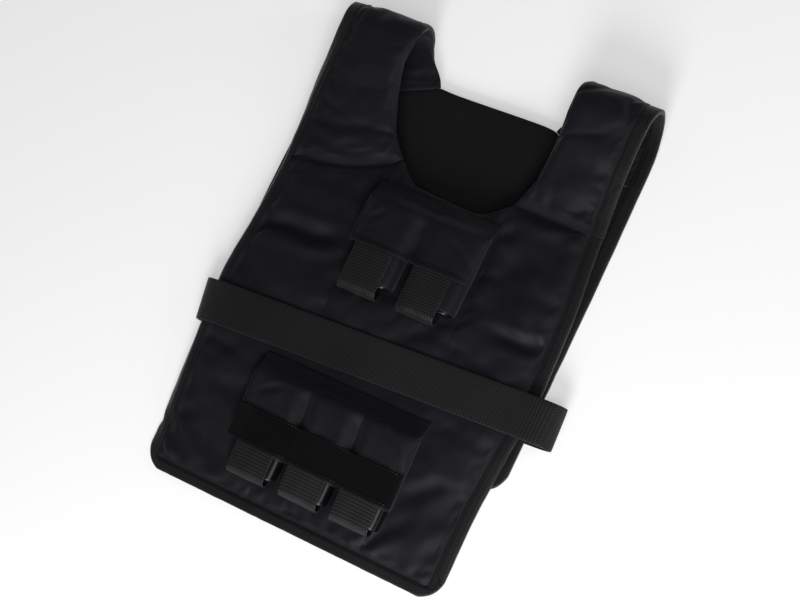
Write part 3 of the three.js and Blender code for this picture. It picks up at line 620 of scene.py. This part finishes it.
# Folds of the front, as x and y in valleys with their depth and width.
FRONT_FOLDS = [
    {"line": [(-0.190, 0.011), (-0.149, 0.018), (-0.127, 0.016), (-0.098, 0.025)], "depth": 0.0050,
     "width": 0.009, "ridge": 0.6, "from_edge": 0.6},
    {"line": [(0.075, 0.104), (0.106, 0.107), (0.130, 0.108), (0.153, 0.107), (0.178, 0.105)],
     "depth": 0.0040, "width": 0.006, "ridge": 0.5, "to_edge": 0.6},
    {"line": [(0.066, 0.088), (0.083, 0.102), (0.097, 0.110)], "depth": 0.0040, "width": 0.005},
    {"line": [(0.110, -0.004), (0.150, -0.006), (0.172, -0.004), (0.188, 0.002)], "depth": 0.0040,
     "width": 0.007, "ridge": 0.5, "to_edge": 0.6},
    {"line": [(0.150, 0.018), (0.158, 0.006), (0.170, 0.000)], "depth": 0.0030, "width": 0.005},
    {"line": [(-0.198, -0.136), (-0.173, -0.138), (-0.151, -0.139), (-0.128, -0.150)],
     "depth": 0.0035, "width": 0.006, "ridge": 0.6, "from_edge": 0.5},
    {"line": [(-0.150, -0.172), (-0.140, -0.184)], "depth": 0.0030, "width": 0.010},
    {"line": [(-0.204, -0.238), (-0.185, -0.230), (-0.171, -0.223), (-0.160, -0.212)],
     "depth": 0.0035, "width": 0.006, "ridge": 0.6, "from_edge": 0.5},
    {"line": [(-0.158, -0.232), (-0.140, -0.248), (-0.122, -0.266)], "depth": 0.0050, "width": 0.008,
     "ridge": 0.6},
    {"line": [(-0.192, -0.246), (-0.176, -0.262), (-0.160, -0.276)], "depth": 0.0040, "width": 0.007,
     "ridge": 0.6},
    {"line": [(0.106, -0.210), (0.122, -0.194), (0.140, -0.181)], "depth": 0.0025, "width": 0.007},
    {"line": [(0.088, -0.266), (0.100, -0.252), (0.123, -0.230)], "depth": 0.0045, "width": 0.006,
     "ridge": 0.6},
    {"line": [(0.080, -0.284), (0.087, -0.272), (0.092, -0.262)], "depth": 0.0030, "width": 0.005},
    {"line": [(0.150, -0.262), (0.164, -0.244), (0.178, -0.230)], "depth": 0.0035, "width": 0.007,
     "ridge": 0.5},
    {"line": [(0.160, -0.292), (0.172, -0.286), (0.182, -0.276)], "depth": 0.0035, "width": 0.005},
    {"line": [(-0.095, 0.115), (-0.070, 0.102), (-0.062, 0.080)], "depth": 0.0030, "width": 0.007},
    {"line": [(-0.120, 0.070), (-0.112, 0.048), (-0.108, 0.030)], "depth": 0.0025, "width": 0.012},
    {"line": [(0.100, 0.085), (0.112, 0.050), (0.116, 0.020)], "depth": 0.0030, "width": 0.014},
]
STRAP_FOLDS = {
    "left": [
        {"line": [(-0.195, 0.455), (-0.160, 0.452), (-0.125, 0.462)], "depth": 0.0018, "width": 0.006},
        {"line": [(-0.190, 0.425), (-0.150, 0.428), (-0.100, 0.420)], "depth": 0.0012, "width": 0.007},
        {"line": [(-0.170, 0.500), (-0.140, 0.510), (-0.112, 0.505)], "depth": 0.0012, "width": 0.012},
    ],
    "right": [
        {"line": [(0.100, 0.455), (0.140, 0.462), (0.178, 0.458)], "depth": 0.0012, "width": 0.010},
        {"line": [(0.105, 0.500), (0.140, 0.508), (0.170, 0.500)], "depth": 0.0010, "width": 0.012},
    ],
}

front = soft_copy("front_panel", "front_cloth", 2, PANEL_CREASE)
front_tape = soft_copy("front_binding", "front_tape", 2, TAPE_CREASE)
left_strap = soft_copy("shoulder_strap_left", "left_strap_cloth", 2, PANEL_CREASE)
left_strap_tape = soft_copy("strap_binding_left", "left_strap_tape", 2, TAPE_CREASE)
right_strap = soft_copy("shoulder_strap_right", "right_strap_cloth", 2, PANEL_CREASE)
right_strap_tape = soft_copy("strap_binding_right", "right_strap_tape", 2, TAPE_CREASE)
edge = side_edge([front_tape, left_strap_tape], -1)
far_edge = side_edge([front_tape, right_strap_tape], 1)
for piece in (front, front_tape, left_strap, left_strap_tape):
    roll_left(piece, edge)
for piece in (front, front_tape):
    under_belt(piece)
joins = {"left": strap_end(left_strap, False), "right": strap_end(right_strap, False)}
for piece, node, folds, seed in (
    (front, "front_panel", FRONT_FOLDS, 1),
    (left_strap, "shoulder_strap_left", STRAP_FOLDS["left"], 2),
    (right_strap, "shoulder_strap_right", STRAP_FOLDS["right"], 3),
):
    places = points_of(piece)
    facing = normals_of(piece)
    way, off = along_course(places)
    outer = eased(off, *OUTER)
    join = np.where(
        places[:, 0] < 0, table_at(joins["left"], places[:, 0]), table_at(joins["right"], places[:, 0])
    )
    near_join = np.exp(-(((way - join) / JOIN_WIDTH) ** 2))
    near_join *= eased(np.abs(places[:, 0]), NECK, NECK_EASE)
    low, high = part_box(node)
    right_gap = table_at(far_edge, way) - places[:, 0]
    left_gap = places[:, 0] - table_at(edge, way)
    strip = left_gap if piece is left_strap else right_gap
    if piece is front:
        strip = np.minimum(left_gap, right_gap)
    free = eased(strip, HELD_EDGE, HELD_EDGE + HELD_EASE)
    if piece is front:
        along = places[:, 1]
        free *= eased(along - low.y, HELD_EDGE, HELD_EDGE + HELD_EASE)
        from_belt = np.abs(places[:, 1] - BELT_MIDDLE - BELT_SLOPE * places[:, 0])
        free *= eased(from_belt, BELT_REACH, BELT_REACH + BELT_EASE)
        for left, right, bottom, top in POCKETS:
            beside = np.maximum(left - places[:, 0], places[:, 0] - right)
            beyond = np.maximum(bottom - places[:, 1], places[:, 1] - top)
            free *= eased(np.maximum(beside, beyond), *POCKET_EASE)
        free *= np.where(np.abs(places[:, 0]) > NECK, eased(join - way, *END_HOLD), 1)
    else:
        along = way
        last = table_at(strap_end(piece, True), places[:, 0])
        free *= eased(way - join, *END_HOLD) * eased(last - way, *END_HOLD)
    move = FOLD_SHARE * fold_height(places[:, 0], along, folds) * outer * free
    spread = np.column_stack([places[:, 0], along, np.zeros(len(places))])
    for kind in RIPPLES:
        move += uneven_move(spread, seed, kind) * free * outer
    for kind in CREASES:
        valleys = creases(spread * kind["stretch"], kind["size"], seed + kind["seed"], kind["sharp"])
        move += kind["height"] * valleys * free * outer
    move += uneven_move(spread, seed, SIDE_PUCKERS) * beside_seam(strip) * outer
    if piece is front:
        move += uneven_move(spread, seed, HEM_PUCKERS) * beside_seam(along - low.y) * outer
    wave = ripple(spread * JOIN_WAVE["stretch"], JOIN_WAVE["size"], seed + JOIN_WAVE["seed"])
    places[:, 2] -= JOIN_DEPTH * near_join * (1 + JOIN_WAVE["share"] * wave) * outer
    places[:, 1] += (1 if piece is front else -1) * JOIN_OVERLAP * near_join**3
    set_points(piece, places + facing * move[:, None])
    swell(piece, free < HELD_BELOW)
    smooth(piece, 1)
    places = points_of(piece)
    places[:, 2] = np.maximum(places[:, 2], TABLE_GAP)
    set_points(piece, places)
    unwrap(piece, along_course(places)[0], places[:, 0])
    piece.data.materials.append(cloth)
    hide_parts(node)
    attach(piece, "root")

# The back panel: the same build as the front, joined to the straps' far ends, with its plain inner
# cloth uppermost. It lies flat, so it isn't simulated, and only its upper side is a little uneven.
LINING_GLOSS = {"rough": 0.62, "specular": 0.28, "sheen": 0.08, "sheen_rough": 0.5}
BACK_WAVE = 0.0010
BACK_WAVE_SIZE = 0.070
BACK_WAVE_SEED = 4
FACES_UP = (0.2, 0.8)
lining = fabric(
    "lining",
    dark=(0.0040, 0.0039, 0.0047),
    light=(0.0066, 0.0064, 0.0078),
    thread=CLOTH_THREAD,
    rib=0.0,
    relief=0.00010,
    gloss=LINING_GLOSS,
)
back = soft_copy("back_panel", "back_cloth", 3, PANEL_CREASE)
places = points_of(back)
facing = normals_of(back)
wave = BACK_WAVE * ripple(places, BACK_WAVE_SIZE, BACK_WAVE_SEED) * eased(facing[:, 2], *FACES_UP)
places += facing * wave[:, None]
set_points(back, places)
unwrap(back, places[:, 1], places[:, 0])
back.data.materials.append(lining)
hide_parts("back_panel")
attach(back, "root")

# The binding: ribbed tape folded over the outer edges of both panels and straps and stitched down
# through all layers in one row of black thread.
tape = fabric(
    "tape",
    dark=(0.0066, 0.0064, 0.0074),
    light=(0.0160, 0.0156, 0.0176),
    thread=0.0012,
    rib=0.80,
    relief=0.00030,
    gloss={"rough": 0.50, "specular": 0.26, "sheen": 0.06, "sheen_rough": 0.5},
)
thread = plain_paint("thread", {"Base Color": (0.0012, 0.0011, 0.0014, 1), "Roughness": 0.5})
STITCH = {"pitch": 0.0042, "length": 0.0034, "width": 0.0013, "height": 0.0007, "taper": 0.3}
STITCH_INSET = 0.0100
STITCH_FROM = 0.3
ROW_STEP = 0.005
TAPE_WAVE = {"height": 0.0004, "stretch": (1, 1, 1), "size": 0.014, "seed": 21}
back_tape = soft_copy("back_binding", "back_tape", 2, TAPE_CREASE)
# The tapes: each with what it binds, its flat size, and the y below which it runs along a hem.
NO_HEM = -math.inf
TAPES = [
    (front_tape, "front_binding", front, (0.029, 1.30), -0.285),
    (left_strap_tape, "strap_binding_left", left_strap, (0.029, 0.356), NO_HEM),
    (right_strap_tape, "strap_binding_right", right_strap, (0.029, 0.305), NO_HEM),
    (back_tape, "back_binding", back, (0.029, 1.25), -0.152),
]
# The stitched line on the front's tape, from the left end of its hem, round the corner and up.
HEM_START = -0.188
HEM_END = 0.165
HEM_CORNER = [(0.1745, 0.003), (0.1815, 0.010)]
SIDE_ROW = (-0.272, 0.134)
STRAP_ROW = (0.142, 0.285)
LINE_STEP = 0.012
LINE_REACH = 0.010


def stitches(name, rows, surface):
    """Rows of stitches laid on a surface from above, each row a line of x and y."""
    tree = BVHTree.FromObject(surface, bpy.context.evaluated_depsgraph_get())
    shape = bmesh.new()
    for row in rows:
        row = np.array(row)
        way = np.concatenate([[0], np.cumsum(np.linalg.norm(np.diff(row, axis=0), axis=1))])
        for start in np.arange(0, way[-1] - STITCH["pitch"], STITCH["pitch"]):
            ends = []
            for at in (start, start + STITCH["length"]):
                x, y = np.interp(at, way, row[:, 0]), np.interp(at, way, row[:, 1])
                ends.append(tree.ray_cast(Vector((x, y, STITCH_FROM)), Vector((0, 0, -1)))[:2])
            (first, first_up), (last, last_up) = ends
            if first is None or last is None or (last - first).length > 2 * STITCH["length"]:
                continue
            up = (first_up + last_up).normalized()
            side = (last - first).cross(up).normalized() * STITCH["width"] / 2
            crest = up * STITCH["height"]
            middle = (first + last) / 2
            corners = [first - side, first + side, last + side, last - side]
            low = [shape.verts.new(corner - crest) for corner in corners]
            top = [shape.verts.new(corner.lerp(middle, STITCH["taper"]) + crest) for corner in corners]
            for one, other in ((0, 1), (1, 2), (2, 3), (3, 0)):
                shape.faces.new((low[one], low[other], top[other], top[one]))
            shape.faces.new(top)
            shape.faces.new(low[::-1])
    mesh = bpy.data.meshes.new(name)
    shape.to_mesh(mesh)
    shape.free()
    piece = bpy.data.objects.new(name, mesh)
    scene.collection.objects.link(piece)
    piece.data.materials.append(thread)
    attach(piece, "root")
    return piece


for piece, node, bound, flat, hem in TAPES:
    places = points_of(piece)
    places += normals_of(piece) * uneven_move(places, 0, TAPE_WAVE)[:, None]
    places[:, 2] = np.maximum(places[:, 2], TABLE_GAP)
    set_points(piece, places)
    way = along_course(places)[0] if piece is not back_tape else places[:, 1]
    layer = piece.data.uv_layers.new(name="cloth_map")
    for polygon in piece.data.polygons:
        along_hem = polygon.center.y < hem
        for corner, vertex in zip(polygon.loop_indices, polygon.vertices):
            pair = (places[vertex, 0], way[vertex])
            layer.data[corner].uv = pair[::-1] if along_hem else pair
    piece.data.materials.append(tape)
    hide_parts(node)
    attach(piece, "root")


def right_line(piece, bottom, top):
    """The line of the stitches beside the right edge of a piece, from the bottom up."""
    places = points_of(piece)
    rows = []
    for y in np.arange(bottom - LINE_REACH, top + LINE_REACH, LINE_STEP):
        near = np.abs(places[:, 1] - y) < LINE_STEP / 2
        if near.any():
            outer = places[near][places[near, 0].argmax()]
            rows.append((outer[1], outer[0]))
    rows.sort()
    return [(table_at(rows, y) - STITCH_INSET, y) for y in np.arange(bottom, top, ROW_STEP)]


hem_y = points_of(front_tape)[:, 1].min() + STITCH_INSET
front_row = [(x, hem_y) for x in np.arange(HEM_START, HEM_END, ROW_STEP)]
front_row += [(x, hem_y + above) for x, above in HEM_CORNER]
front_row += right_line(front_tape, *SIDE_ROW)
stitches("front_stitches", [front_row], front_tape)
strap_row = right_line(right_strap_tape, *STRAP_ROW)
stitches("right_strap_stitches", [strap_row], right_strap_tape)

# The waist belt: one closed band of 50 mm webbing with ribs across it, over the front and under
# the back. It is pulled flat, and its upper run is a little uneven.
webbing = fabric(
    "webbing",
    dark=(0.0046, 0.0045, 0.0050),
    light=(0.0190, 0.0186, 0.0202),
    thread=0.0017,
    rib=0.70,
    relief=0.00055,
    gloss={"rough": 0.50, "specular": 0.28, "sheen": 0.06, "sheen_rough": 0.5},
)
WEBBING_CREASE = 0.8
BELT_WAVE = {"height": 0.0006, "stretch": (1, 0.3, 0.3), "size": 0.045, "seed": 31}
UPPER_RUN = (0.015, 0.025)
belt = soft_copy("waist_belt", "belt_webbing", 3, WEBBING_CREASE)
places = points_of(belt)
places[:, 2] += uneven_move(places, 0, BELT_WAVE) * eased(places[:, 2], *UPPER_RUN)
set_points(belt, places)
slanted = places[:, 1] - BELT_SLOPE * places[:, 0]
unwrap(belt, places[:, 0] + places[:, 2], slanted)
belt.data.materials.append(webbing)
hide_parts("waist_belt")
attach(belt, "root")

# The weights: smooth black bars with rounded edges in the sleeves, their lower ends bare. Each is a
# solid of the frame with its edges softened.
shell = plain_paint(
    "shell",
    {"Base Color": (0.0035, 0.0035, 0.0045, 1), "Roughness": 0.28, "Specular IOR Level": 0.4},
)
WEIGHT_CREASE = 0.35
WEIGHTS = [
    "chest_weight_left", "chest_weight_right",
    "belly_weight_left", "belly_weight_middle", "belly_weight_right",
]
for node in WEIGHTS:
    piece = soft_copy(node, node + "_bar", 3, WEIGHT_CREASE)
    piece.data.materials.append(shell)
    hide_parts(node)
    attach(piece, "root")

# The sleeves: cloth pockets sewn to the front, one round each weight, open towards the hem. Each has
# its flat size and a slightly wrinkled surface.
CHEST_SLEEVE = (0.109, 0.140)
BELLY_SLEEVE = (0.110, 0.128)
SLEEVES = {
    "chest_sleeve_left": CHEST_SLEEVE,
    "chest_sleeve_right": CHEST_SLEEVE,
    "belly_sleeve_left": BELLY_SLEEVE,
    "belly_sleeve_middle": BELLY_SLEEVE,
    "belly_sleeve_right": BELLY_SLEEVE,
}
SLEEVE_CREASE = 0.6
SLEEVE_WAVE = {"height": 0.0004, "stretch": (1, 1, 1), "size": 0.014, "seed": 40}
for seed, (node, flat) in enumerate(SLEEVES.items()):
    piece = soft_copy(node, node + "_cloth", 3, SLEEVE_CREASE)
    places = points_of(piece)
    wave = uneven_move(places, seed, SLEEVE_WAVE)
    set_points(piece, places + normals_of(piece) * wave[:, None])
    unwrap(piece, places[:, 1], places[:, 0])
    piece.data.materials.append(cloth)
    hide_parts(node)
    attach(piece, "root")

# The tabs: short lengths of the same webbing round the free ends of the weights, to pull them by.
# Each has its flat size and a slightly wavy surface.
CHEST_TAB = (0.049, 0.089)
BELLY_TAB = (0.049, 0.0725)
TABS = {
    "chest_tab_left": CHEST_TAB,
    "chest_tab_right": CHEST_TAB,
    "belly_tab_left": BELLY_TAB,
    "belly_tab_middle": BELLY_TAB,
    "belly_tab_right": BELLY_TAB,
}
TAB_WAVE = {"height": 0.0007, "stretch": (1, 0.4, 0.4), "size": 0.016, "seed": 50}
for seed, (node, flat) in enumerate(TABS.items()):
    piece = soft_copy(node, node + "_webbing", 3, WEBBING_CREASE)
    places = points_of(piece)
    wave = uneven_move(places, seed, TAB_WAVE)
    set_points(piece, places + normals_of(piece) * wave[:, None])
    unwrap(piece, places[:, 1] - places[:, 2], places[:, 0])
    piece.data.materials.append(webbing)
    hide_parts(node)
    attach(piece, "root")

# The flaps over the sleeves: doubled cloth, sewn to the front along the top, which dips between the
# weights and is stitched along its edges.
FLAP_FOLDS = {
    "chest_flap": [
        {"line": [(0.003, 0.034), (0.000, 0.058), (-0.006, 0.078)], "depth": 0.0034, "width": 0.009},
        {"line": [(-0.076, 0.052), (-0.060, 0.060), (-0.048, 0.072)], "depth": 0.0015, "width": 0.004},
        {"line": [(0.070, 0.044), (0.052, 0.060), (0.040, 0.066)], "depth": 0.0018, "width": 0.004},
        {"line": [(-0.050, 0.094), (0.000, 0.092), (0.052, 0.095)], "depth": 0.0016, "width": 0.005},
    ],
    "belly_flap": [
        {"line": [(-0.033, -0.196), (-0.036, -0.172), (-0.043, -0.152)], "depth": 0.0034, "width": 0.008},
        {"line": [(0.034, -0.196), (0.031, -0.172), (0.025, -0.152)], "depth": 0.0034, "width": 0.008},
        {"line": [(0.096, -0.190), (0.078, -0.166), (0.060, -0.150)], "depth": 0.0018, "width": 0.004},
        {"line": [(-0.109, -0.184), (-0.090, -0.168), (-0.070, -0.158)], "depth": 0.0018, "width": 0.004},
        {"line": [(-0.080, -0.141), (0.000, -0.138), (0.080, -0.141)], "depth": 0.0016, "width": 0.005},
    ],
}
FLAPS = {"chest_flap": (0.155, 0.090), "belly_flap": (0.214, 0.114)}
FLAP_CREASE = 0.8
FLAP_TOP_EASE = (0.004, 0.016)
FLAP_HEM_EASE = (0.004, 0.012)
FLAP_WAVE = {"height": 0.0005, "stretch": (1, 1, 1), "size": 0.020, "seed": 60}
FLAP_FINE_WAVE = {"height": 0.0003, "stretch": (1, 1, 1), "size": 0.009, "seed": 64}
# The stitched rows along the flaps' free edges, as left, right and y, and down both sides.
FLAP_ROWS = {
    "chest_flap": [(-0.0765, 0.0710, 0.0300), (-0.0765, 0.0710, 0.0325)],
    "belly_flap": [(-0.1095, 0.0965, -0.1895)],
}
SIDE_INSET = 0.003
SIDE_BELOW = 0.006
SIDE_ABOVE = 0.018
flaps = {}
for seed, (node, flat) in enumerate(FLAPS.items()):
    piece = soft_copy(node, node + "_cloth", 3, FLAP_CREASE)
    places = points_of(piece)
    low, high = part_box(node)
    inner = eased(high.y - places[:, 1], *FLAP_TOP_EASE) * eased(places[:, 1] - low.y, *FLAP_HEM_EASE)
    places[:, 2] += fold_height(places[:, 0], places[:, 1], FLAP_FOLDS[node]) * inner
    waves = uneven_move(places, seed, FLAP_WAVE) + uneven_move(places, 0, FLAP_FINE_WAVE)
    places[:, 2] += waves * inner
    set_points(piece, places)
    unwrap(piece, places[:, 1], places[:, 0])
    piece.data.materials.append(cloth)
    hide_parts(node)
    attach(piece, "root")
    seam_rows = [[(left, y), (right, y)] for left, right, y in FLAP_ROWS[node]]
    for x in (high.x - SIDE_INSET, low.x + SIDE_INSET):
        seam_rows.append([(x, low.y + SIDE_BELOW), (x, high.y - SIDE_ABOVE)])
    flaps[node] = (piece, seam_rows)

# The belly flap's band: matt black hook-and-loop pile on the outside of its free edge, sewn on along
# both long edges.
pile = fabric(
    "pile",
    dark=(0.0016, 0.0016, 0.0019),
    light=(0.0050, 0.0049, 0.0056),
    thread=0.0007,
    rib=0.0,
    relief=0.0005,
    gloss={"rough": 0.95, "specular": 0.05, "sheen": 0.04, "sheen_rough": 0.6},
    fuzz=1.0,
)
BAND_ROWS = [[(-0.110, -0.1930), (0.097, -0.1930)], [(-0.110, -0.2290), (0.097, -0.2290)]]
band = soft_copy("belly_closure_band", "belly_band_pile", 3, FLAP_CREASE)
places = points_of(band)
unwrap(band, places[:, 1], places[:, 0])
band.data.materials.append(pile)
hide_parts("belly_closure_band")
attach(band, "root")
for node, (piece, seam_rows) in flaps.items():
    seam = stitches(node + "_stitches", seam_rows, piece)
stitches("belly_band_stitches", BAND_ROWS, band)
